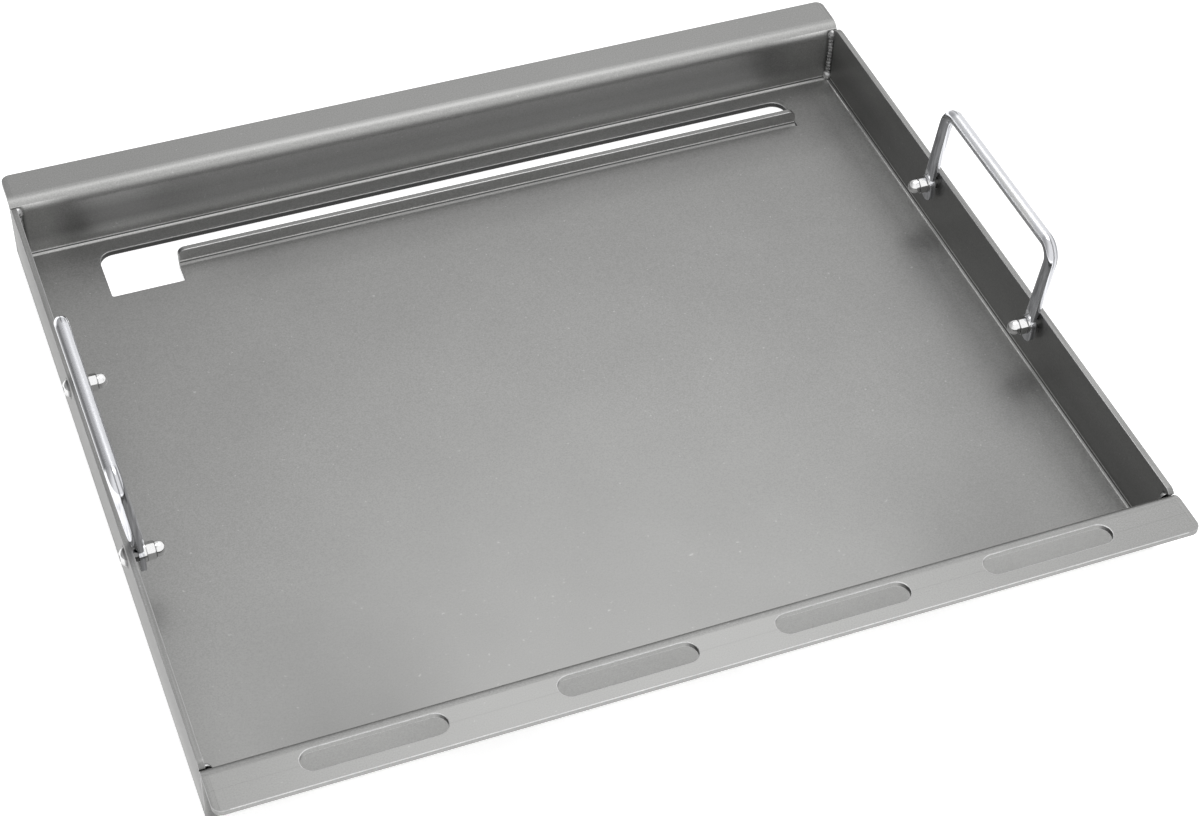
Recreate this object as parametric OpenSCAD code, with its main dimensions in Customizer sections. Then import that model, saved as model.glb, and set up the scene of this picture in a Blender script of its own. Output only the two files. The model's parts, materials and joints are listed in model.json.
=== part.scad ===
// Griddle plate: a folded steel tray with a front and a rear flange, a grease slot with a raised lip,
// and a bolted rod handle on each side.
// The underside's middle is the origin, X runs to the right, Y to the back and Z up. Sizes are in mm.

/* [Pan] */
// Width over the two side walls
pan_w = 600; // [480:1:800]
// Clear depth between the front wall and the back wall
pan_d = 480; // [380:1:640]
// Height of the side walls and of both flanges
wall_h = 50; // [42:1:80]
// Sheet thickness
sheet_t = 4; // [2:0.5:5]
// Inside radius of the bends along the floor
base_bend_r = 3; // [1:0.5:5]
// Inside radius of the bends below the flanges
flange_bend_r = 5; // [2:0.5:8]
// Open seam between a side wall and the walls at its ends
seam_gap = 0.4; // [0.2:0.1:1]
// How far the top of a side wall reaches over the bends at its ends
corner_reach = 3; // [1:0.5:4]
// Radius of a side wall's front top corner
front_corner_r = 6; // [4:1:14]
// Radius of a side wall's rear top corner
rear_corner_r = 12; // [4:1:14]

/* [Flanges] */
// Width of the front flange, from the wall's outer face to its edge
front_flange_w = 30; // [26:0.5:60]
// Width of the rear flange, from the wall's outer face to its edge
rear_flange_w = 27; // [16:0.5:60]
// Radius of the flanges' outer corners
flange_corner_r = 6; // [2:0.5:10]

/* [Front slots] */
// Length of a slot in the front flange
front_slot_l = 84; // [40:1:110]
// Width of a slot in the front flange
front_slot_w = 15; // [6:0.5:18]
// Flat strip left between a slot and the flange's bend
front_slot_back = 1; // [0.5:0.5:4]
// Flat length left between an outermost slot and the flange's end
front_slot_end = 52; // [20:1:80]
// Gap between neighbouring slots
front_slot_gap = 48; // [20:1:90]

/* [Grease slot] */
// Floor left between the slot and the back wall
slot_setback = 14; // [8:0.5:40]
// Clear width between the slot's rear edge and the lip
slot_w = 23; // [12:0.5:40]
// Floor left between the slot and the right wall
slot_right_margin = 44; // [20:0.5:120]
// Radius of the opening's rear corners
slot_corner_r = 10; // [2:0.5:11]
// Height of the lip above the floor
lip_h = 11; // [8:0.5:25]
// Radius of the lip's top corners
lip_corner_r = 5; // [1:0.5:6]
// Cut beside the lip's right end that frees it for bending
lip_relief = 1; // [1:0.5:10]

/* [Drain] */
// Floor left between the drain and the left wall
drain_margin = 46; // [20:0.5:120]
// Width of the drain opening
drain_w = 49.5; // [25:0.5:90]
// Depth of the drain opening, from front to back
drain_d = 44; // [40:0.5:90]
// Radius of the drain's front left corner
drain_corner_r = 1.5; // [0.5:0.5:8]

/* [Handles] */
// Diameter of the handle rod
rod_d = 9; // [6:0.5:10]
// Distance between the two legs of a handle
handle_span = 146; // [90:1:240]
// Height of the grip's axis above the bolts
handle_h = 61.5; // [45:0.5:90]
// How far the grip stands outside the eyes
handle_lean = 7.5; // [0:0.5:15]
// Radius of the rod's axis in the grip's two bends
grip_bend_r = 11; // [7:0.5:25]
// Thickness of the flattened eye at a leg's foot
eye_t = 3.4; // [2:0.1:5]
// Rim of the eye around the washer
eye_rim = 0.5; // [0.3:0.1:3]
// Length by which the flattened foot reaches on below the eye
eye_tail = 6.5; // [1:0.5:12]
// Length above the eye over which a leg turns from flat to round
foot_taper = 9.5; // [6:0.5:14]
// Gap between a leg and the top of the side wall
rod_gap = 0.6; // [0.3:0.1:3]
// Depth of the bolts below the walls' top
bolt_drop = 10; // [9:0.5:16]

/* [Fasteners] */
// Thread diameter of the screws
thread_d = 6; // [5:1:8]
// Play around a screw in the pan, the spacer, the eye and the washer
hole_play = 0.2; // [0.1:0.05:0.5]
// Play around a screw in its nut
nut_play = 0.1; // [0.05:0.05:0.2]
// Wall of the spacers
spacer_wall = 1.3; // [0.8:0.1:3]
// Rim of the screw head around the thread
head_rim = 3; // [2:0.1:4]
// Height of the screw head
head_h = 3.3; // [2.5:0.1:4]
// Diameter of the flat on top of the screw head
head_flat_d = 6; // [5.4:0.1:7]
// Hex socket across its flats
socket_af = 4; // [3:0.5:4.5]
// Depth of the hex socket
socket_depth = 2; // [1:0.1:2.2]
// Rim of the washers around their hole
washer_rim = 2.8; // [2.6:0.1:4]
// Thickness of the washers
washer_t = 1.6; // [0.8:0.1:3]
// Wall of the nut between its thread and its flats
nut_wall = 2; // [1.5:0.1:2.5]
// Height of the nut's hexagon
nut_hex_h = 5.5; // [4:0.1:6]
// Step between the nut's flats and its dome
nut_step = 0.25; // [0.1:0.05:0.5]
// Length of thread that a nut holds
nut_grip = 8.5; // [7.5:0.5:12]
// Free space in the nut beyond the screw's end
nut_end_gap = 0.5; // [0.2:0.1:1]
// Thickness of the dome's tip
nut_tip = 3; // [2:0.1:4]

/* [Welds] */
// Radius of a weld's ripples
weld_r = 3; // [2:0.1:3.5]
// Radius of the blob at each end of a weld
weld_blob_r = 4.2; // [2:0.1:4.5]
// Distance between ripples
weld_pitch = 2.8; // [2:0.1:3]

/* [Hidden] */
$fn = 64;

LEFT = -1;
RIGHT = 1;
FRONT = -1;
REAR = 1;

sheet_color = [0.52, 0.52, 0.52];
weld_color = [0.45, 0.45, 0.45];
bright_color = [0.85, 0.85, 0.86];

// Spare length by which a cut passes its solid
cut = 1;

total_d = front_flange_w + rear_flange_w + pan_d + 2 * sheet_t;
edge_x = pan_w / 2;
inner_x = edge_x - sheet_t;
front_edge = -total_d / 2;
rear_edge = total_d / 2;
front_in = front_edge + front_flange_w + sheet_t;
back_in = rear_edge - rear_flange_w - sheet_t;

// Heights where the bends along the floor end and where the bends of the flanges start
bend_top = sheet_t + base_bend_r;
flange_bend_z = wall_h - sheet_t - flange_bend_r;
// Distance from an end wall's inner face to the middle of its flange bend
flange_bend_in = sheet_t + flange_bend_r;
outer_bend_r = base_bend_r + sheet_t;
flange_top_r = flange_bend_r + sheet_t;

slot_rear = back_in - slot_setback;
lip_y = slot_rear - slot_w - sheet_t;
slot_front = lip_y - base_bend_r;
slot_right = inner_x - slot_right_margin;
drain_left = -inner_x + drain_margin;
drain_right = drain_left + drain_w;
drain_front = slot_rear - drain_d;
lip_right = slot_right - lip_relief;
lip_top = sheet_t + lip_h;
lip_round = min(lip_corner_r, lip_h - base_bend_r);

front_slot_pitch = front_slot_l + front_slot_gap;
front_slot_reach = edge_x - front_slot_end - front_slot_l / 2;
front_slot_y = front_edge + front_flange_w - flange_bend_r - front_slot_back - front_slot_w / 2;
// One slot at the left end, and a row from the right end with as many as find room
front_slot_row = floor(2 * front_slot_reach / front_slot_pitch);
front_slot_xs = concat(
    [-front_slot_reach],
    [for (i = [0 : front_slot_row - 1]) front_slot_reach - i * front_slot_pitch]
);

hole_d = thread_d + 2 * hole_play;
spacer_d = hole_d + 2 * spacer_wall;
head_d = thread_d + 2 * head_rim;
nut_af = thread_d + 2 * nut_wall;
nut_corner_r = nut_af / 2 / cos(30);
nut_dome_r = nut_af / 2 - nut_step;
nut_bore_l = nut_grip + nut_end_gap;
nut_h = nut_bore_l + nut_tip;
washer_d = hole_d + 2 * washer_rim;
eye_r = max(washer_d / 2, nut_corner_r) + eye_rim;

bolt_z = wall_h - bolt_drop;
bolt_y = handle_span / 2;
lean_angle = atan2(handle_lean, handle_h);
leg_l = norm([handle_lean, handle_h]);
// Distance from the bolt's axis to where a leg is fully round
foot_l = eye_r + foot_taper;
// Half of a leg's thickness where it passes the wall's top
foot_flare = (rod_d / 2 + cut - eye_t / 2) / foot_taper;
leg_half = min(rod_d / 2 / cos(lean_angle), eye_t / 2 + foot_flare * max(0, bolt_drop - eye_r));
// Distance from the eye's middle to the outer side of a leg at that place
leg_reach = bolt_drop * tan(lean_angle) + leg_half;
spacer_l = leg_reach + rod_gap - eye_t / 2;
eye_x = inner_x - spacer_l - eye_t / 2;
washer_x = eye_x - eye_t / 2;
nut_x = washer_x - washer_t;
screw_l = edge_x - nut_x + nut_grip;

weld_low = sheet_t + weld_r;
weld_high = flange_bend_z + weld_r / 2;
weld_ripples = floor((weld_high - weld_low) / weld_pitch);

// A section in Y and Z, drawn along X and centred
module along_x(length) {
    rotate([90, 0, 90]) linear_extrude(height = length, center = true) children();
}

// A section in X and Z, drawn along Y from one place to another
module along_y(from, to) {
    translate([0, to, 0]) rotate([90, 0, 0]) linear_extrude(height = to - from) children();
}

// A quarter of a bent sheet's section, from angle a on
module quarter_bend(r, a) {
    rotate(a) intersection() {
        difference() {
            circle(r + sheet_t);
            circle(r);
        }
        square(r + sheet_t + cut);
    }
}

// What a rounded corner takes from a sharp one, with the round's middle at the origin
module corner_cut(r) {
    difference() {
        square(r + cut);
        circle(r);
    }
}

// A plate's section whose two lower corners are rounded as the floor bends are
module rounded_foot(from, to, height) {
    difference() {
        translate([from, 0]) square([to - from, height]);
        translate([from + outer_bend_r, outer_bend_r]) rotate(180) corner_cut(outer_bend_r);
        translate([to - outer_bend_r, outer_bend_r]) rotate(270) corner_cut(outer_bend_r);
    }
}

// Section of an end wall from its floor bend to its flange's edge, inner face at 0
module end_wall_section(flange_w) {
    translate([-base_bend_r, bend_top]) quarter_bend(base_bend_r, 270);
    translate([0, bend_top]) square([sheet_t, flange_bend_z - bend_top]);
    translate([flange_bend_in, flange_bend_z]) quarter_bend(flange_bend_r, 90);
    translate([flange_bend_in, wall_h - sheet_t]) square([flange_w - flange_bend_r, sheet_t]);
}

// Section of the pan from the front flange's edge to the rear flange's edge
module long_section() {
    translate([front_in, 0]) mirror([1, 0]) end_wall_section(front_flange_w);
    translate([front_in + base_bend_r, 0]) square([pan_d - 2 * base_bend_r, sheet_t]);
    translate([back_in, 0]) end_wall_section(rear_flange_w);
}

// Room that an end wall and its flange bend need beside a side wall, inner face at 0
module end_wall_room() {
    translate([-seam_gap, 0]) square([flange_bend_in, flange_bend_z]);
    translate([flange_bend_in, flange_bend_z]) circle(flange_top_r + seam_gap);
}

// Section of the right side wall with its floor bend, in X and Z
module side_wall_section() {
    translate([inner_x - base_bend_r, bend_top]) quarter_bend(base_bend_r, 270);
    translate([inner_x, bend_top]) square([sheet_t, wall_h + cut - bend_top]);
}

// Outline of a side wall in Y and Z, whose floor bend is mitred into the bends of the end walls
module side_wall_outline() {
    front_end = front_in - corner_reach;
    rear_end = back_in + corner_reach;
    rounded_foot(front_in - sheet_t, back_in + sheet_t, bend_top);
    difference() {
        translate([front_end, bend_top]) square([rear_end - front_end, wall_h - bend_top]);
        translate([front_end + front_corner_r, wall_h - front_corner_r])
            rotate(90) corner_cut(front_corner_r);
        translate([rear_end - rear_corner_r, wall_h - rear_corner_r]) corner_cut(rear_corner_r);
        translate([front_in, 0]) mirror([1, 0]) end_wall_room();
        translate([back_in, 0]) end_wall_room();
    }
}

module right_side_wall() {
    intersection() {
        along_y(front_edge, rear_edge) side_wall_section();
        along_x(pan_w + 2 * cut) side_wall_outline();
    }
}

module folded_sheet() {
    intersection() {
        along_x(pan_w) long_section();
        along_y(front_edge, rear_edge) rounded_foot(-edge_x, edge_x, wall_h);
    }
    for (side = [0, 1]) mirror([side, 0, 0]) right_side_wall();
}

// Opening in the floor: the drain and the grease slot behind the lip
module floor_opening() {
    difference() {
        union() {
            translate([drain_left, drain_front]) square([drain_w, drain_d]);
            translate([drain_right - cut, slot_front])
                square([slot_right - drain_right + cut, slot_rear - slot_front]);
        }
        translate([drain_left + slot_corner_r, slot_rear - slot_corner_r])
            rotate(90) corner_cut(slot_corner_r);
        translate([drain_left + drain_corner_r, drain_front + drain_corner_r])
            rotate(180) corner_cut(drain_corner_r);
        translate([slot_right - slot_corner_r, slot_rear - slot_corner_r]) corner_cut(slot_corner_r);
    }
}

// Section of the lip in Y and Z, with a strip of the floor that it is bent up from
module lip_section() {
    translate([slot_front - cut, 0]) square([cut, sheet_t]);
    translate([slot_front, bend_top]) quarter_bend(base_bend_r, 270);
    translate([lip_y, bend_top]) square([sheet_t, lip_top + cut - bend_top]);
}

// Outline of the lip in X and Z
module lip_outline() {
    difference() {
        translate([drain_right, -cut]) square([lip_right - drain_right, lip_top + cut]);
        translate([drain_right + lip_round, lip_top - lip_round]) rotate(90) corner_cut(lip_round);
        translate([lip_right - lip_round, lip_top - lip_round]) corner_cut(lip_round);
    }
}

// Lip that is bent up from the floor along the grease slot
module lip() {
    intersection() {
        along_x(pan_w) lip_section();
        along_y(slot_front - 2 * cut, slot_rear) lip_outline();
    }
}

// Outline of one slot with round ends, along X
module slot_outline(length, width) {
    straight = length - width;
    square([straight, width], center = true);
    for (end = [-1, 1]) translate([end * straight / 2, 0]) circle(d = width);
}

module front_slots() {
    for (x = front_slot_xs) translate([x, front_slot_y, wall_h - sheet_t - cut])
        linear_extrude(height = sheet_t + 2 * cut) slot_outline(front_slot_l, front_slot_w);
}

module flange_corner_cuts() {
    for (side = [0, 1]) mirror([side, 0, 0]) {
        translate([edge_x - flange_corner_r, rear_edge - flange_corner_r, wall_h - sheet_t - cut])
            linear_extrude(height = sheet_t + 2 * cut) corner_cut(flange_corner_r);
        translate([edge_x - flange_corner_r, front_edge + flange_corner_r, wall_h - sheet_t - cut])
            linear_extrude(height = sheet_t + 2 * cut) rotate(270) corner_cut(flange_corner_r);
    }
}

module bolt_holes() {
    for (side = [LEFT, RIGHT], y = [-bolt_y, bolt_y])
        translate([side * (inner_x + sheet_t / 2), y, bolt_z]) rotate([0, 90, 0])
            cylinder(d = hole_d, h = sheet_t + 2 * cut, center = true);
}

module griddle_pan() {
    color(sheet_color) {
        difference() {
            folded_sheet();
            translate([0, 0, -cut]) linear_extrude(height = sheet_t + 2 * cut) floor_opening();
            front_slots();
            flange_corner_cuts();
            bolt_holes();
        }
        lip();
    }
}

// Rippled bead along Z with a blob at each end
module weld_bead() {
    rotate_extrude() intersection() {
        union() {
            for (i = [0 : weld_ripples]) translate([0, weld_low + i * weld_pitch]) circle(weld_r);
            translate([0, weld_low]) circle(weld_blob_r);
            translate([0, weld_high]) circle(weld_blob_r);
        }
        translate([0, sheet_t]) square([weld_blob_r + cut, wall_h]);
    }
}

// Weld in an inside corner, laid against both walls and the bends below them
module corner_weld(side, end) {
    corner_y = end == FRONT ? front_in : back_in;
    color(weld_color) difference() {
        intersection() {
            translate([side * inner_x, corner_y, 0]) weld_bead();
            translate([-inner_x, front_in, 0]) cube([2 * inner_x, pan_d, wall_h]);
        }
        along_x(pan_w) long_section();
        mirror([side == LEFT ? 1 : 0, 0, 0]) right_side_wall();
    }
}

// Frame of a handle's rod: the origin in the middle between its eyes, Z along the leaning legs
module rod_frame() {
    translate([eye_x, 0, bolt_z]) rotate([0, lean_angle, 0]) children();
}

// Legs, bends and grip of one round rod
module handle_rod() {
    straight_l = leg_l - grip_bend_r;
    bend_y = bolt_y - grip_bend_r;
    rod_frame() {
        for (end = [0, 1]) mirror([0, end, 0]) {
            translate([0, bolt_y, straight_l]) rotate([180, 0, 0]) cylinder(d = rod_d, h = straight_l);
            translate([0, bend_y, straight_l]) rotate([90, 0, 90])
                rotate_extrude(angle = 90) translate([grip_bend_r, 0]) circle(d = rod_d);
        }
        translate([0, bend_y, leg_l]) rotate([90, 0, 0]) cylinder(d = rod_d, h = 2 * bend_y);
    }
}

// Outline of the flat eye in Y and Z, with its bolt hole at the origin
module eye_outline() {
    circle(eye_r);
    translate([-eye_r, -eye_tail]) square([2 * eye_r, eye_tail]);
    translate([0, -eye_tail]) circle(eye_r);
}

// Outline of a handle in X and Z: as thin as the eyes below, and clear of the round rod above the tapers
module handle_outline() {
    rod_half = rod_d / 2 + cut;
    top_z = handle_h + rod_d;
    taper_x = foot_l * tan(lean_angle);
    top_x = top_z * tan(lean_angle);
    polygon([
        [-eye_t / 2, -eye_r], [eye_t / 2, -eye_r], [eye_t / 2, eye_r],
        [taper_x + rod_half, foot_l], [top_x + rod_half, top_z],
        [top_x - rod_half, top_z], [taper_x - rod_half, foot_l],
        [-eye_t / 2, eye_r]
    ]);
}

// Bent rod whose legs are flattened into an eye at each foot
module handle(side) {
    color(bright_color) mirror([side == LEFT ? 1 : 0, 0, 0]) difference() {
        union() {
            intersection() {
                handle_rod();
                along_y(front_edge, rear_edge) translate([eye_x, bolt_z]) handle_outline();
            }
            for (end = [FRONT, REAR])
                translate([eye_x, end * bolt_y, bolt_z]) along_x(eye_t) eye_outline();
        }
        for (end = [FRONT, REAR]) translate([eye_x, end * bolt_y, bolt_z]) rotate([0, 90, 0])
            cylinder(d = hole_d, h = eye_t + 2 * cut, center = true);
    }
}

// Places a fastener that is drawn along Z on a bolt's axis, with Z pointing into the pan
module on_bolt(side, end, x) {
    translate([side * x, end * bolt_y, bolt_z]) rotate([0, -side * 90, 0]) children();
}

module spacer(side, end) {
    color(bright_color) on_bolt(side, end, inner_x) difference() {
        cylinder(d = spacer_d, h = spacer_l);
        translate([0, 0, -cut]) cylinder(d = hole_d, h = spacer_l + 2 * cut);
    }
}

// Round head on the pan's outer face, with a hex socket and a plain shank
module screw(side, end) {
    dome_drop = (pow(head_d / 2, 2) - pow(head_flat_d / 2, 2) - pow(head_h, 2)) / (2 * head_h);
    color(bright_color) on_bolt(side, end, edge_x) {
        cylinder(d = thread_d, h = screw_l);
        difference() {
            intersection() {
                translate([0, 0, -head_h]) cylinder(d = head_d, h = head_h);
                translate([0, 0, dome_drop]) sphere(norm([head_d / 2, dome_drop]));
            }
            translate([0, 0, -head_h - cut])
                cylinder(r = socket_af / 2 / cos(30), h = socket_depth + cut, $fn = 6);
        }
    }
}

module washer(side, end) {
    color(bright_color) on_bolt(side, end, washer_x) difference() {
        cylinder(d = washer_d, h = washer_t);
        translate([0, 0, -cut]) cylinder(d = hole_d, h = washer_t + 2 * cut);
    }
}

// Cap nut: a hexagon with trimmed corners below a dome, and a blind bore
module nut(side, end) {
    color(bright_color) on_bolt(side, end, nut_x) difference() {
        union() {
            intersection() {
                cylinder(r = nut_corner_r, h = nut_hex_h, $fn = 6);
                sphere(norm([nut_af / 2, nut_hex_h]));
            }
            cylinder(r = nut_dome_r, h = nut_h - nut_dome_r);
            translate([0, 0, nut_h - nut_dome_r]) sphere(nut_dome_r);
        }
        translate([0, 0, -cut]) cylinder(r = thread_d / 2 + nut_play, h = nut_bore_l + cut);
    }
}

griddle_pan();
corner_weld(LEFT, FRONT);  // front_left_weld
corner_weld(RIGHT, FRONT);  // front_right_weld
corner_weld(LEFT, REAR);  // rear_left_weld
corner_weld(RIGHT, REAR);  // rear_right_weld
handle(LEFT);  // left_handle
handle(RIGHT);  // right_handle
spacer(LEFT, FRONT);  // front_left_spacer
spacer(RIGHT, FRONT);  // front_right_spacer
spacer(LEFT, REAR);  // rear_left_spacer
spacer(RIGHT, REAR);  // rear_right_spacer
screw(LEFT, FRONT);  // front_left_screw
screw(RIGHT, FRONT);  // front_right_screw
screw(LEFT, REAR);  // rear_left_screw
screw(RIGHT, REAR);  // rear_right_screw
washer(LEFT, FRONT);  // front_left_washer
washer(RIGHT, FRONT);  // front_right_washer
washer(LEFT, REAR);  // rear_left_washer
washer(RIGHT, REAR);  // rear_right_washer
nut(LEFT, FRONT);  // front_left_nut
nut(RIGHT, FRONT);  // front_right_nut
nut(LEFT, REAR);  // rear_left_nut
nut(RIGHT, REAR);  // rear_right_nut
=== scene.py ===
"""Griddle plate: the looks of a folded steel tray with polished rod handles.

Every length is in metres, in the frame of the solids: X to the right, Y to the back, Z up.
A range over which a mark rises or fades is a pair. A band is a middle, a half width and a soft rim.
A share is how much of the surface's shade a mark takes away, or adds where the share is negative.
"""

import json
from math import pi, radians

import bpy
from mathutils import Matrix, Vector


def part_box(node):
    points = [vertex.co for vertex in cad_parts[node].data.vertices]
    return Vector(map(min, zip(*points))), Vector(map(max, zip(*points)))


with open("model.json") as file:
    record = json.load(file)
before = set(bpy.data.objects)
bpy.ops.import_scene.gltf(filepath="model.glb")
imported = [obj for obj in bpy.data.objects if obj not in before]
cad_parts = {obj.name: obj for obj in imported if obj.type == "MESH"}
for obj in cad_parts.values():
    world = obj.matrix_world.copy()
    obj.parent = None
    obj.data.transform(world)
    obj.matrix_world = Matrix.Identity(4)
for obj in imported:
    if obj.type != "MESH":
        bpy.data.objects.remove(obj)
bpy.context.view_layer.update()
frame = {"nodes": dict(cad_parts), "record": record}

MM = 0.001


def mm(*lengths):
    """Millimetres as a tuple of metres."""
    return tuple(length * MM for length in lengths)


# The camera, fitted to the photograph's straight edges
CAMERA_PLACE = (-0.42229, -1.07013, 1.17052)
CAMERA_AZIMUTH = radians(22.693)
CAMERA_DROP = radians(45.692)
CAMERA_ROLL = radians(2.3365)
SENSOR_WIDTH = 36.0
FOCAL_LENGTH = 76.703

# The surround, dimmer towards the back left
DIM_DIRECTION = (-0.76, 0.65)
DIM_TURN = (0.1, 0.9)
DIM_SHARE = 0.55

# A soft panel that faces the tray's middle
PANEL_PLACE = (0.32, 0.5, 1.5)
PANEL_SIDE = 0.9
PANEL_RADIANCE = 2.4

# The floor, a little below the tray's underside
FLOOR_SIZE = 8.0
FLOOR_DROP = 0.2 * MM
FLOOR_SHADE = 0.92
FLOOR_SPREAD = 0.01
FLOOR_ROUGHNESS = 0.9

# The light that the floor adds: to the camera's view, and to reflections left and right of a turn
FLOOR_GLOW = 0.58
MIRROR_GLOW = (0.58, 0.12)
MIRROR_TURN = (0.25, 0.4)

# Linear shades and tints of the metals
SHEET_SHADE = 0.284
# The sheet's rounded edges are brighter than the sheet: a painted highlight
EDGE_HIGHLIGHT_SHADE = 0.62
WELD_SHADE = 0.34
ROD_SHADE = 0.72
FASTENER_SHADE = 0.92
SHEET_TINT = (1.0, 1.0, 0.985)
ROD_TINT = (0.98, 0.99, 1.03)

# Roughness of the metals, at their smoothest and at their roughest
SHEET_ROUGHNESS = (0.40, 0.52)
EDGE_ROUGHNESS = (0.32, 0.45)
WELD_ROUGHNESS = (0.2, 0.4)
ROD_ROUGHNESS = (0.085, 0.115)
FASTENER_ROUGHNESS = (0.05, 0.12)

# Stretches of noise that draw it into lines along an axis
ALONG_Y = (1, 0.02, 1)
ALONG_Z = (1, 1, 0.02)

# Rounding of the edges, by material slot
EDGE_RADIUS = {"sheet": 0.45 * MM, "weld": 0.1 * MM, "rod": 0.3 * MM, "fastener": 0.08 * MM}
EDGE_SEGMENTS = 2
EDGE_ANGLE = radians(35)
FLAT_ANGLE = radians(0.3)
JOIN_DISTANCE = 0.002 * MM

# Boxes of the solids that places are taken from, where the right half stands for both
PAN_LOW, PAN_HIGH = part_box("griddle_pan")
SPACER_LOW, SPACER_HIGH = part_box("rear_right_spacer")
SCREW_LOW, SCREW_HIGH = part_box("rear_right_screw")
NUT_LOW, NUT_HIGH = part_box("rear_right_nut")

# Places on the sheet: welds touch the inner faces of the end walls, and spacers those of the side walls
FRONT_WALL_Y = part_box("front_right_weld")[0].y
BACK_WALL_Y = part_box("rear_right_weld")[1].y
INNER_X = SPACER_HIGH.x
SHEET_THICKNESS = PAN_HIGH.x - INNER_X
WALL_HEIGHT = PAN_HIGH.z
FLANGE_UNDERSIDE = WALL_HEIGHT - SHEET_THICKNESS
FLANGE_BEND = WALL_HEIGHT - 8 * MM
LIP_Y = BACK_WALL_Y - 41 * MM
SCRIBE_BAND = (PAN_LOW.y + 14.5 * MM, 0.15 * MM, 0.15 * MM)
FACE_TOLERANCE = 0.1 * MM

# Places on the bolts: the axis, the head, and distances inwards from the side walls
BOLT_Y = (NUT_LOW.y + NUT_HIGH.y) / 2
BOLT_Z = (NUT_LOW.z + NUT_HIGH.z) / 2
HEAD_RADIUS = (SCREW_HIGH.y - SCREW_LOW.y) / 2
SOCKET_RADIUS = 2.2 * MM
SPACER_LENGTH = SPACER_HIGH.x - SPACER_LOW.x
NUT_START = INNER_X - NUT_HIGH.x
DOME_START = NUT_START + 5.5 * MM

# Where a handle's grip and its legs end in the bends
GRIP_REACH = BOLT_Y - 12 * MM
LEG_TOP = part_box("right_handle")[1].z - 15 * MM

# How much of a normal lies along an axis: at most this on upright faces, and at least this on the others
UPRIGHT = 0.15
TURNED = 0.1
RISING = 0.2
FACING = 0.8
LEVEL = 0.9

# Painted highlights and a painted crease shade along the floor's bends, and where the right bend's painted
# highlight is darkened
BEND_HIGHLIGHT_LOW = (SHEET_THICKNESS + 0.5 * MM, 0.4 * MM, 0.1 * MM)
CREASE_SHADE_LINE = (SHEET_THICKNESS + 1.3 * MM, 0.3 * MM, 0.1 * MM)
BEND_HIGHLIGHT_HIGH = (SHEET_THICKNESS + 2.2 * MM, 0.4 * MM, 0.1 * MM)
RIGHT_BEND_SHADE_Y = mm(60, 220)
BEND_SHARES = {
    "low_front": -0.9,
    "low_side": -0.4,
    "low_right_rear": 0.55,
    "crease_shade": 0.75,
    "crease_shade_side": -0.7,
    "high": -0.9,
    "high_side": -0.3,
}

# Darker cut faces, painted shade at the slots' right ends, and painted shade beside the welds and around the
# screw heads
SLOT_END_TURN = (-0.9, -0.3)
SEAM_REACH = mm(3.2, 5.2)
RING_REACH = (HEAD_RADIUS + 0.6 * MM, HEAD_RADIUS + 1.6 * MM)
CUT_SHARES = {"floor_opening": 0.88, "slot_end": 0.75}
WELD_AND_HEAD_SHADE_SHARES = {"seam": 0.6, "ring": 0.8}

# Painted light and shade on the floor
FLOOR_TOP = SHEET_THICKNESS + 0.5 * MM
RIGHT_SIDE_REACH = mm(3, 20)
BEFORE_LIP_Y = mm(160, 185)
BEHIND_LIP_Y = (LIP_Y, LIP_Y + 25 * MM)
LIP_SHADE_X = mm(-190, -150)
FRONT_SHADE_Y = mm(-215, -100)
FRONT_SHADE_BAND = mm(200, 20, 50)
FLOOR_PAINTED_SHARES = {"right_side": -0.5, "before_lip": 0.13, "front": 0.17}

# Painted light and shade on the walls, the lip and the flanges' bends
BACK_WALL_START = LIP_Y + 10 * MM
BACK_FOOT_Z = mm(12, 18)
BACK_DARK_BOTTOM = mm(12, 20)
BACK_DARK_TOP = mm(30, 44)
BACK_DARK_LEFT = mm(-275, -255)
BACK_DARK_RIGHT = mm(235, 265)
BACK_DARKER_BAND = mm(-225, 20, 40)
BACK_LEFT_X = mm(-280, -262)
BACK_RIGHT_X = mm(245, 285)
BACK_RIGHT_Z = mm(12, 38)
BACK_RIGHT_LEVELS = (0.2, 1.0)
RIGHT_WALL_DEPTH = 1 * MM
RIGHT_WALL_Y = mm(40, 140)
RIGHT_WALL_Z = mm(20, 38)
LIP_BAND = (LIP_Y, 2 * MM, 0.5 * MM)
OUTSIDE_Z = (15 * MM, WALL_HEIGHT)
OUTSIDE_REAR_Z = mm(20, 45)
OUTSIDE_REAR_Y = mm(20, 150)
OUTSIDE_FRONT_Z = mm(15, 35)
OUTSIDE_FRONT_Y = mm(-180, -40)
REAR_BEND_TURN = (-0.65, 0.15, 0.2)
FRONT_BEND_TURN = (0.35, 0.1, 0.15)
WALL_PAINTED_SHARES = {
    "back_foot": -0.25,
    "back_dark": 0.36,
    "back_darker": 0.2,
    "back_left": -0.5,
    "back_right": -0.9,
    "right_wall": 0.22,
    "front_wall": -0.18,
    "lip": -0.6,
    "outside": 0.15,
    "outside_rear": 0.22,
    "outside_front": -0.25,
    "tops": -0.08,
    "left_top": 0.14,
    "rear_bend": -0.5,
    "front_bend": -0.4,
}

# Painted highlights on the sheet's edges and on the welds' blobs
LOW_EDGE_Z = mm(5, 20)
SIDE_EDGE_DEPTH = 5 * MM
LOW_BLOB_Z = mm(9, 12)
HIGH_BLOB_Z = mm(40, 42)
EDGE_SHARES = {"low": 0.55, "side": 0.35}
WELD_SHARES = {"low_blob": -0.6, "high_blob": -0.8}

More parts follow.
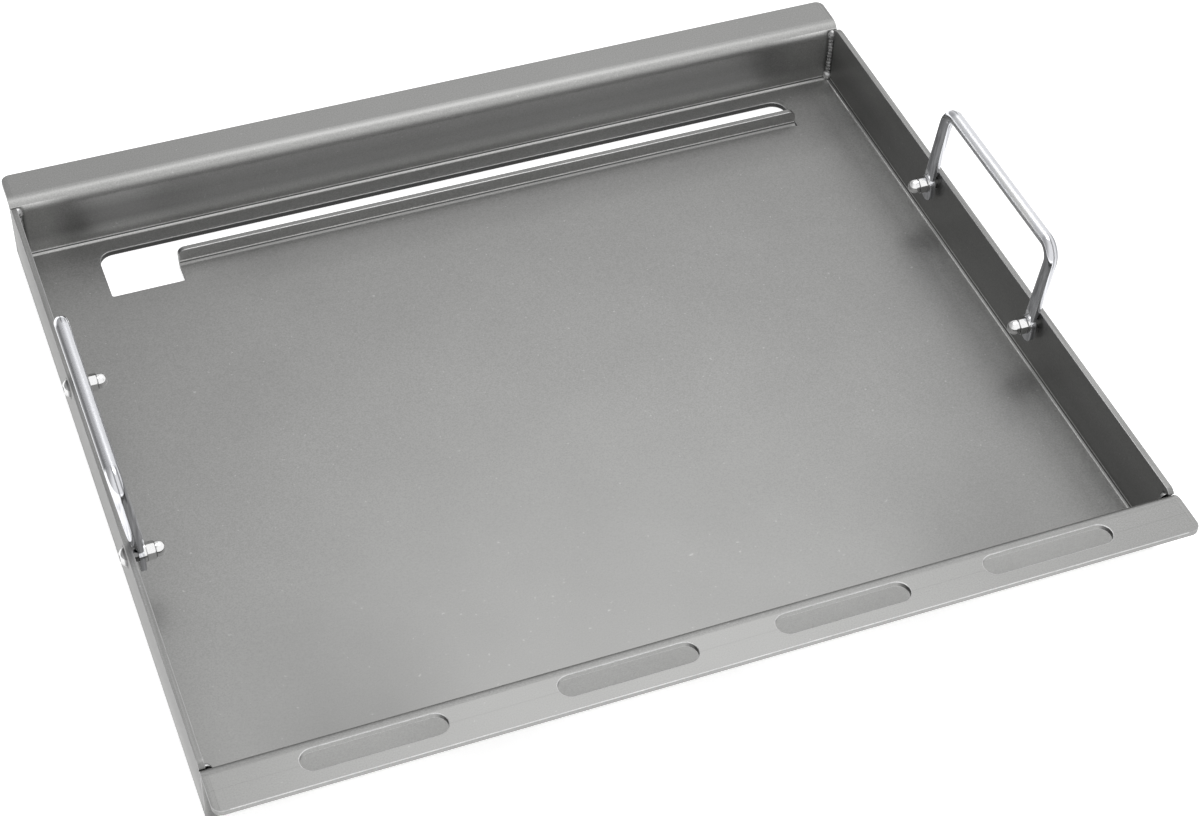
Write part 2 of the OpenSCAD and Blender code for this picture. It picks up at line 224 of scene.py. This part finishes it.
# Marks and painted reflections on the handles: where the grips and legs end, and turns of the normal around
# the rod
GRIP_END = (GRIP_REACH, GRIP_REACH + 3 * MM)
LEG_END = (LEG_TOP - 4 * MM, LEG_TOP)
BEND_REFLECTION_TURNS = ((0.5, 0.05, 0.1), (-0.05, 0.04, 0.08))
DARK_REFLECTION_TURN = (-0.82, 0.06, 0.3)
DARK_REFLECTION_RISE = (0.1, 0.3)
BRIGHT_REFLECTION_TURN = (-0.45, -0.2)
ROD_SHARES = {"bend_reflection_lines": 0.6, "dark_reflection": 0.8, "bright_reflection": -0.35}
GRIP_ROUGHENING = -2.0

# Random marks and painted shade on the fasteners
BEHIND_BAND = (SPACER_LENGTH / 2, SPACER_LENGTH / 2, 0.1 * MM)
JOINT_BAND = (NUT_START, 0.2 * MM, 0.15 * MM)
GROOVE_BAND = (DOME_START, 0.25 * MM, 0.2 * MM)
SOCKET_REACH = (SOCKET_RADIUS, SOCKET_RADIUS + 0.3 * MM)
RIM_REACH = (HEAD_RADIUS - 1.0 * MM, HEAD_RADIUS - 0.4 * MM)
UNDERSIDE_TURN = (-0.6, -0.1)
FASTENER_SHARES = {
    "marks": 0.3,
    "behind": 0.75,
    "joint": 0.6,
    "groove": 0.6,
    "outside": 0.3,
    "socket": 0.9,
    "rim": 0.7,
    "underside": 0.5,
}


class Nodes:
    """A node tree, with a short way to add nodes and link them."""

    def __init__(self, tree):
        self.tree = tree

    def add(self, kind, **values):
        node = self.tree.nodes.new(kind)
        for key, value in values.items():
            setattr(node, key, value)
        return node

    def set(self, socket, value):
        """Links a socket to an output, or gives it a plain value."""
        if isinstance(value, bpy.types.NodeSocket):
            self.tree.links.new(value, socket)
        else:
            socket.default_value = value

    def split(self, vector):
        node = self.add("ShaderNodeSeparateXYZ")
        self.set(node.inputs[0], vector)
        return node.outputs[0], node.outputs[1], node.outputs[2]

    def span(self, value, low, high, start=0.3, end=0.7, shape="LINEAR"):
        """Maps the values from start to end, by default the reach of noise, onto low to high."""
        node = self.add("ShaderNodeMapRange", interpolation_type=shape)
        self.set(node.inputs["Value"], value)
        for key, number in (("From Min", start), ("From Max", end), ("To Min", low), ("To Max", high)):
            node.inputs[key].default_value = number
        return node.outputs["Result"]

    def rise(self, value, start, end):
        """0 up to the start, and 1 from the end on."""
        return self.span(value, 0.0, 1.0, start, end)

    def fade(self, value, start, end):
        """1 up to the start, and 0 from the end on."""
        return self.span(value, 1.0, 0.0, start, end)

    def vary(self, noise, middle, share):
        """Values around a middle, by a share of it up and down."""
        return self.span(noise, middle * (1.0 - share), middle * (1.0 + share))

    def math(self, operation, a, b=0.0):
        node = self.add("ShaderNodeMath", operation=operation)
        self.set(node.inputs[0], a)
        self.set(node.inputs[1], b)
        return node.outputs["Value"]

    def product(self, *factors):
        result = factors[0]
        for factor in factors[1:]:
            result = self.math("MULTIPLY", result, factor)
        return result

    def size(self, value):
        return self.math("ABSOLUTE", value)

    def above(self, value, limit):
        return self.math("GREATER_THAN", value, limit)

    def below(self, value, limit):
        return self.math("LESS_THAN", value, limit)

    def distance(self, a, b):
        return self.math("SQRT", self.math("ADD", self.product(a, a), self.product(b, b)))

    def band(self, value, middle, half, rim):
        """1 within half of the middle, and 0 beyond a soft rim."""
        away = self.size(self.math("SUBTRACT", value, middle))
        return self.fade(away, half, half + rim)

    def dim(self, mask, share):
        """A factor that takes a share away where the mask is 1, or adds it if the share is negative."""
        return self.span(mask, 1.0, 1.0 - share, 0.0, 1.0)

    def shade(self, masks, shares):
        """One factor for several masks, each with the share of the same name."""
        return self.product(*[self.dim(mask, shares[name]) for name, mask in masks.items()])


class Surface(Nodes):
    """A material's nodes, with the place and the normal of the shaded point."""

    def __init__(self, name):
        self.material = bpy.data.materials.new(name)
        self.material.use_nodes = True
        super().__init__(self.material.node_tree)
        self.shader = self.tree.nodes["Principled BSDF"]
        coordinates = self.add("ShaderNodeTexCoord")
        self.place = coordinates.outputs["Object"]
        self.x, self.y, self.z = self.split(self.place)
        self.right, self.back, self.up = self.split(coordinates.outputs["Normal"])

    def noise(self, scale, detail=2.0, stretch=(1, 1, 1)):
        """Noise with scale cells to the metre, longer along an axis with a smaller stretch."""
        mapping = self.add("ShaderNodeMapping")
        self.set(mapping.inputs["Vector"], self.place)
        mapping.inputs["Scale"].default_value = stretch
        node = self.add("ShaderNodeTexNoise")
        self.set(node.inputs["Vector"], mapping.outputs["Vector"])
        node.inputs["Scale"].default_value = scale
        node.inputs["Detail"].default_value = detail
        return node.outputs["Fac"]

    def inwards(self):
        """Distance from the inner face of the nearest side wall towards the tray's middle."""
        return self.math("SUBTRACT", INNER_X, self.size(self.x))

    def end_gap(self):
        """Distance from the inner face of the nearest end wall towards the tray's middle."""
        middle = (BACK_WALL_Y + FRONT_WALL_Y) / 2
        reach = (BACK_WALL_Y - FRONT_WALL_Y) / 2
        return self.math("SUBTRACT", reach, self.size(self.math("SUBTRACT", self.y, middle)))

    def bolt_distance(self):
        """Distance from the axis of the nearest bolt."""
        return self.distance(
            self.math("SUBTRACT", self.size(self.y), BOLT_Y), self.math("SUBTRACT", self.z, BOLT_Z)
        )

    def outer_faces(self):
        """1 on the outer faces of the side walls."""
        return self.below(self.inwards(), FACE_TOLERANCE - SHEET_THICKNESS)

    def tops(self):
        """1 on the tops of the walls and flanges."""
        return self.above(self.z, WALL_HEIGHT - FACE_TOLERANCE)

    def bump(self, height, depth, strength):
        node = self.add("ShaderNodeBump")
        self.set(node.inputs["Height"], height)
        node.inputs["Distance"].default_value = depth
        node.inputs["Strength"].default_value = strength
        self.set(self.shader.inputs["Normal"], node.outputs["Normal"])

    def tint(self, level, color):
        node = self.add("ShaderNodeVectorMath", operation="MULTIPLY")
        self.set(node.inputs[0], level)
        node.inputs[1].default_value = color
        return node.outputs["Vector"]

    def metal(self, color, roughness):
        self.set(self.shader.inputs["Base Color"], color)
        self.set(self.shader.inputs["Roughness"], roughness)
        self.shader.inputs["Metallic"].default_value = 1.0
        return self.material


def floor_bends(n):
    """The bends along the floor: painted highlights below and above a painted shade line in the crease, each
    by the side that it faces.
    """
    rising = n.above(n.up, RISING)
    low = n.product(rising, n.band(n.z, *BEND_HIGHLIGHT_LOW))
    crease_shade = n.product(rising, n.band(n.z, *CREASE_SHADE_LINE))
    high = n.product(rising, n.band(n.z, *BEND_HIGHLIGHT_HIGH))
    to_front = n.product(n.below(n.back, -TURNED), n.above(n.y, LIP_Y))
    to_side = n.above(n.size(n.right), TURNED)
    right_rear = n.product(n.above(n.x, 0.0), n.rise(n.y, *RIGHT_BEND_SHADE_Y))
    masks = {
        "low_front": n.product(low, to_front),
        "low_side": n.product(low, to_side),
        "low_right_rear": n.product(low, to_side, right_rear),
        "crease_shade": crease_shade,
        "crease_shade_side": n.product(crease_shade, to_side),
        "high": high,
        "high_side": n.product(high, to_side),
    }
    return n.shade(masks, BEND_SHARES)


def cut_faces(n):
    """Darker cut faces all round the openings in the floor, and painted shade on the cut face at the right
    end of each front slot.
    """
    upright = n.below(n.size(n.up), UPRIGHT)
    in_flange = n.product(
        n.above(n.z, FLANGE_UNDERSIDE), n.below(n.y, FRONT_WALL_Y), n.below(n.size(n.x), INNER_X)
    )
    masks = {
        "floor_opening": n.product(upright, n.below(n.z, SHEET_THICKNESS - FACE_TOLERANCE)),
        "slot_end": n.product(upright, in_flange, n.fade(n.right, *SLOT_END_TURN)),
    }
    return n.shade(masks, CUT_SHARES)


def weld_and_head_shade(n):
    """Painted shade beside the corner welds, and a painted contact shadow around the screw heads on the outer
    faces.
    """
    corner_distance = n.distance(n.inwards(), n.end_gap())
    masks = {
        "seam": n.product(n.fade(corner_distance, *SEAM_REACH), n.below(n.z, FLANGE_UNDERSIDE)),
        "ring": n.product(n.fade(n.bolt_distance(), *RING_REACH), n.outer_faces()),
    }
    return n.shade(masks, WELD_AND_HEAD_SHADE_SHARES)


def floor_painted_light(n):
    """Painted light and shade on the floor: lighter along the right wall, darker before the lip and towards
    the front.
    """
    floor = n.product(n.above(n.up, LEVEL), n.below(n.z, FLOOR_TOP))
    around_lip = n.product(n.rise(n.y, *BEFORE_LIP_Y), n.fade(n.y, *BEHIND_LIP_Y))
    masks = {
        "right_side": n.product(floor, n.above(n.x, 0.0), n.fade(n.inwards(), *RIGHT_SIDE_REACH)),
        "before_lip": n.product(floor, around_lip, n.rise(n.x, *LIP_SHADE_X)),
        "front": n.product(floor, n.fade(n.y, *FRONT_SHADE_Y), n.band(n.size(n.x), *FRONT_SHADE_BAND)),
    }
    return n.shade(masks, FLOOR_PAINTED_SHARES)


def wall_painted_light(n):
    """Painted light and shade on the walls, the lip and the tops, and painted highlights on the flanges'
    bends.
    """
    to_front = n.below(n.back, -FACING)
    back_wall = n.product(to_front, n.above(n.y, BACK_WALL_START))
    back_dark = n.product(
        back_wall,
        n.rise(n.z, *BACK_DARK_BOTTOM),
        n.fade(n.z, *BACK_DARK_TOP),
        n.rise(n.x, *BACK_DARK_LEFT),
        n.fade(n.x, *BACK_DARK_RIGHT),
    )
    back_right_level = n.span(n.z, *BACK_RIGHT_LEVELS, *BACK_RIGHT_Z)
    right_wall = n.product(n.below(n.right, -FACING), n.above(n.x, INNER_X - RIGHT_WALL_DEPTH))
    outside = n.outer_faces()
    tops = n.tops()
    bends = n.above(n.z, FLANGE_BEND)
    rear_half = n.above(n.y, 0.0)
    front_half = n.below(n.y, 0.0)
    masks = {
        "back_foot": n.product(back_wall, n.fade(n.z, *BACK_FOOT_Z)),
        "back_dark": back_dark,
        "back_darker": n.product(back_dark, n.band(n.x, *BACK_DARKER_BAND)),
        "back_left": n.product(back_wall, n.fade(n.x, *BACK_LEFT_X)),
        "back_right": n.product(back_wall, n.rise(n.x, *BACK_RIGHT_X), back_right_level),
        "right_wall": n.product(right_wall, n.rise(n.size(n.y), *RIGHT_WALL_Y), n.fade(n.z, *RIGHT_WALL_Z)),
        "front_wall": n.product(to_front, front_half),
        "lip": n.product(to_front, n.band(n.y, *LIP_BAND)),
        "outside": n.product(outside, n.rise(n.z, *OUTSIDE_Z)),
        "outside_rear": n.product(outside, n.rise(n.z, *OUTSIDE_REAR_Z), n.rise(n.y, *OUTSIDE_REAR_Y)),
        "outside_front": n.product(outside, n.fade(n.z, *OUTSIDE_FRONT_Z), n.fade(n.y, *OUTSIDE_FRONT_Y)),
        "tops": tops,
        "left_top": n.product(tops, n.below(n.x, -INNER_X)),
        "rear_bend": n.product(bends, rear_half, n.band(n.back, *REAR_BEND_TURN)),
        "front_bend": n.product(bends, front_half, n.band(n.back, *FRONT_BEND_TURN)),
    }
    return n.shade(masks, WALL_PAINTED_SHARES)


def sheet_steel():
    """Grey rolled sheet: grain, specks and a scribed line, darker cut faces, and painted light and shade on
    bends, floor, walls, welds and heads.
    """
    n = Surface("sheet_steel")
    fine = n.noise(scale=1100)
    specks = n.span(n.noise(scale=420, detail=1.0), low=0.0, high=0.35, start=0.74, end=0.80)
    grain = n.math("ADD", n.vary(fine, 1.0, share=0.14), specks)
    mottle = n.vary(n.noise(scale=14, detail=5.0), SHEET_SHADE, share=0.025)
    lines = n.span(n.noise(scale=900, stretch=ALONG_Y), low=-0.14, high=0.14)
    side_top_lines = n.product(n.below(n.inwards(), 0.0), n.tops(), lines)
    scribe = n.product(n.tops(), n.band(n.y, *SCRIBE_BAND))
    level = n.product(
        mottle,
        grain,
        n.math("ADD", 1.0, side_top_lines),
        floor_bends(n),
        cut_faces(n),
        weld_and_head_shade(n),
        floor_painted_light(n),
        wall_painted_light(n),
        n.dim(scribe, share=0.12),
    )
    n.bump(fine, depth=0.05 * MM, strength=0.3)
    return n.metal(n.tint(level, SHEET_TINT), n.span(fine, *SHEET_ROUGHNESS))


def edge_highlight():
    """Painted highlights on the sheet's rounded edges, weaker around the openings in the floor and along the
    side walls.
    """
    n = Surface("edge_highlight")
    fine = n.noise(scale=1600, detail=3.0)
    masks = {"low": n.fade(n.z, *LOW_EDGE_Z), "side": n.below(n.inwards(), SIDE_EDGE_DEPTH)}
    level = n.product(
        n.vary(fine, EDGE_HIGHLIGHT_SHADE, share=0.15),
        n.vary(n.noise(scale=60, detail=5.0), 1.0, share=0.1),
        n.shade(masks, EDGE_SHARES),
    )
    n.bump(fine, depth=0.05 * MM, strength=0.3)
    return n.metal(level, n.span(fine, *EDGE_ROUGHNESS))


def weld_steel():
    """Rippled weld metal, with a painted highlight on the blob at its lower end and, at the front left, on
    its upper end.
    """
    n = Surface("weld_steel")
    rough = n.noise(scale=600, detail=3.0)
    front_left = n.product(n.below(n.x, 0.0), n.below(n.y, 0.0))
    masks = {
        "low_blob": n.fade(n.z, *LOW_BLOB_Z),
        "high_blob": n.product(front_left, n.rise(n.z, *HIGH_BLOB_Z)),
    }
    level = n.product(
        n.vary(n.noise(scale=250, detail=3.0), WELD_SHADE, share=0.35),
        n.vary(rough, 1.0, share=0.3),
        n.shade(masks, WELD_SHARES),
    )
    n.bump(rough, depth=0.4 * MM, strength=0.7)
    return n.metal(level, n.span(rough, *WELD_ROUGHNESS))


def drawn_rod():
    """Drawn rod: satin grips, polished bends, drawn lines, and painted reflections, dark and bright on the
    grips and dark on the bends.
    """
    n = Surface("drawn_rod")
    grip = n.fade(n.size(n.y), *GRIP_END)
    leg = n.fade(n.z, *LEG_END)
    bend = n.product(n.dim(grip, share=1.0), n.dim(leg, share=1.0))
    grip_lines = n.product(grip, n.span(n.noise(scale=900, stretch=ALONG_Y), low=-0.06, high=0.06))
    # The legs' drawn lines are strong, so that they are painted reflection streaks as well
    leg_lines_and_streaks = n.product(leg, n.span(n.noise(scale=900, stretch=ALONG_Z), low=-0.28, high=0.28))
    lines = n.math("ADD", grip_lines, leg_lines_and_streaks)
    bend_reflection_lines = n.math("MAXIMUM", *[n.band(n.right, *turn) for turn in BEND_REFLECTION_TURNS])
    outer_side = n.product(n.band(n.right, *DARK_REFLECTION_TURN), n.rise(n.up, *DARK_REFLECTION_RISE))
    masks = {
        "bend_reflection_lines": n.product(bend, bend_reflection_lines),
        "dark_reflection": n.product(grip, n.below(n.x, 0.0), outer_side),
        "bright_reflection": n.product(grip, n.above(n.x, 0.0), n.fade(n.right, *BRIGHT_REFLECTION_TURN)),
    }
    level = n.product(
        n.vary(n.noise(scale=60, detail=3.0), ROD_SHADE, share=0.03),
        n.math("ADD", 1.0, lines),
        n.shade(masks, ROD_SHARES),
    )
    n.bump(lines, depth=0.03 * MM, strength=0.2)
    roughness = n.product(n.dim(grip, GRIP_ROUGHENING), n.span(n.noise(scale=900), *ROD_ROUGHNESS))
    return n.metal(n.tint(level, ROD_TINT), roughness)


def bright_fastener():
    """Polished spacers, screws, washers and nuts with random marks, and painted shade in grooves, sockets,
    joints and undersides, on screw heads and on spacers behind the handles.
    """
    n = Surface("bright_fastener")
    fine = n.noise(scale=1500, detail=3.0)
    inwards = n.inwards()
    radius = n.bolt_distance()
    outside = n.below(inwards, -SHEET_THICKNESS)
    masks = {
        "marks": n.rise(n.noise(scale=380), start=0.60, end=0.68),
        "behind": n.band(inwards, *BEHIND_BAND),
        "joint": n.band(inwards, *JOINT_BAND),
        "groove": n.band(inwards, *GROOVE_BAND),
        "outside": outside,
        "socket": n.product(outside, n.fade(radius, *SOCKET_REACH)),
        "rim": n.product(outside, n.rise(radius, *RIM_REACH)),
        "underside": n.fade(n.up, *UNDERSIDE_TURN),
    }
    level = n.product(n.vary(fine, FASTENER_SHADE, share=0.04), n.shade(masks, FASTENER_SHARES))
    n.bump(fine, depth=0.02 * MM, strength=0.15)
    return n.metal(level, n.span(fine, *FASTENER_ROUGHNESS))


def make_materials():
    """The materials by material slot, and the one of the sheet's edges."""
    return {
        "sheet": sheet_steel(),
        "edge": edge_highlight(),
        "weld": weld_steel(),
        "rod": drawn_rod(),
        "fastener": bright_fastener(),
    }


def round_edges(piece, radius, flat_piece):
    """Joins the faces' meshes and rounds the sharp edges; a flat piece's rounds take its second material."""
    join = piece.modifiers.new("join_faces", "WELD")
    join.merge_threshold = JOIN_DISTANCE
    if flat_piece:
        flats = piece.modifiers.new("merge_flats", "DECIMATE")
        flats.decimate_type = "DISSOLVE"
        flats.angle_limit = FLAT_ANGLE
    bevel = piece.modifiers.new("round_edges", "BEVEL")
    bevel.width = radius
    bevel.segments = EDGE_SEGMENTS
    bevel.limit_method = "ANGLE"
    bevel.angle_limit = EDGE_ANGLE
    bevel.miter_outer = "MITER_ARC"
    if flat_piece:
        bevel.use_clamp_overlap = False
        bevel.material = 1
    smooth = piece.modifiers.new("even_normals", "WEIGHTED_NORMAL")
    smooth.keep_sharp = True


def dress_nodes(materials):
    """Gives each node its material, and its edges their rounding."""
    for part in frame["record"]["subparts"]:
        piece = frame["nodes"][part["node"]]
        slot = part["material_slot"]
        is_sheet = slot == "sheet"
        piece.data.materials.clear()
        piece.data.materials.append(materials[slot])
        if is_sheet:
            piece.data.materials.append(materials["edge"])
        round_edges(piece, EDGE_RADIUS[slot], is_sheet)


def make_camera():
    """A camera at the photograph's viewpoint."""
    lens = bpy.data.cameras.new("camera")
    lens.sensor_fit = "HORIZONTAL"
    lens.sensor_width = SENSOR_WIDTH
    lens.lens = FOCAL_LENGTH
    camera = bpy.data.objects.new("camera", lens)
    turn = (
        Matrix.Rotation(-CAMERA_AZIMUTH, 4, "Z")
        @ Matrix.Rotation(pi / 2 - CAMERA_DROP, 4, "X")
        @ Matrix.Rotation(CAMERA_ROLL, 4, "Z")
    )
    camera.matrix_world = Matrix.Translation(CAMERA_PLACE) @ turn
    bpy.context.scene.collection.objects.link(camera)
    bpy.context.scene.camera = camera


def make_surround():
    """A soft surround, dimmer towards one side, that the camera sees as white."""
    world = bpy.data.worlds.new("surround")
    world.use_nodes = True
    n = Nodes(world.node_tree)
    x, y, _ = n.split(n.add("ShaderNodeTexCoord").outputs["Generated"])
    towards = n.math("ADD", n.product(x, DIM_DIRECTION[0]), n.product(y, DIM_DIRECTION[1]))
    side = n.span(towards, 0.0, 1.0, *DIM_TURN, shape="SMOOTHSTEP")
    seen = n.add("ShaderNodeLightPath").outputs["Is Camera Ray"]
    n.set(n.tree.nodes["Background"].inputs["Color"], n.math("MAXIMUM", n.dim(side, DIM_SHARE), seen))
    bpy.context.scene.world = world


def make_panel():
    """A square soft lamp that faces the tray's middle."""
    lamp = bpy.data.lights.new("soft_panel", "AREA")
    lamp.size = PANEL_SIDE
    lamp.energy = PANEL_RADIANCE * pi * PANEL_SIDE**2
    panel = bpy.data.objects.new("soft_panel", lamp)
    facing = (-Vector(PANEL_PLACE)).to_track_quat("-Z", "Y").to_matrix().to_4x4()
    panel.matrix_world = Matrix.Translation(PANEL_PLACE) @ facing
    bpy.context.scene.collection.objects.link(panel)


def make_floor():
    """A pale floor that glows a little where the camera or a mirror sees it."""
    half = FLOOR_SIZE / 2
    mesh = bpy.data.meshes.new("studio_floor")
    corners = [(x, y, -FLOOR_DROP) for x, y in ((-half, -half), (half, -half), (half, half), (-half, half))]
    mesh.from_pydata(corners, [], [(0, 1, 2, 3)])
    n = Surface("studio_floor")
    shade = n.span(n.noise(scale=3), FLOOR_SHADE - FLOOR_SPREAD, FLOOR_SHADE + FLOOR_SPREAD)
    n.set(n.shader.inputs["Base Color"], shade)
    n.shader.inputs["Roughness"].default_value = FLOOR_ROUGHNESS
    n.shader.inputs["Specular IOR Level"].default_value = 0.0
    ray = n.add("ShaderNodeLightPath").outputs
    straight = n.product(FLOOR_GLOW, ray["Is Camera Ray"])
    mirrored = n.product(n.span(n.x, *MIRROR_GLOW, *MIRROR_TURN), ray["Is Glossy Ray"])
    n.shader.inputs["Emission Color"].default_value = (1, 1, 1, 1)
    n.set(n.shader.inputs["Emission Strength"], n.math("ADD", straight, mirrored))
    mesh.materials.append(n.material)
    floor = bpy.data.objects.new("studio_floor", mesh)
    bpy.context.scene.collection.objects.link(floor)


bpy.context.scene.view_settings.view_transform = "Standard"
make_camera()
make_surround()
make_panel()
make_floor()
dress_nodes(make_materials())
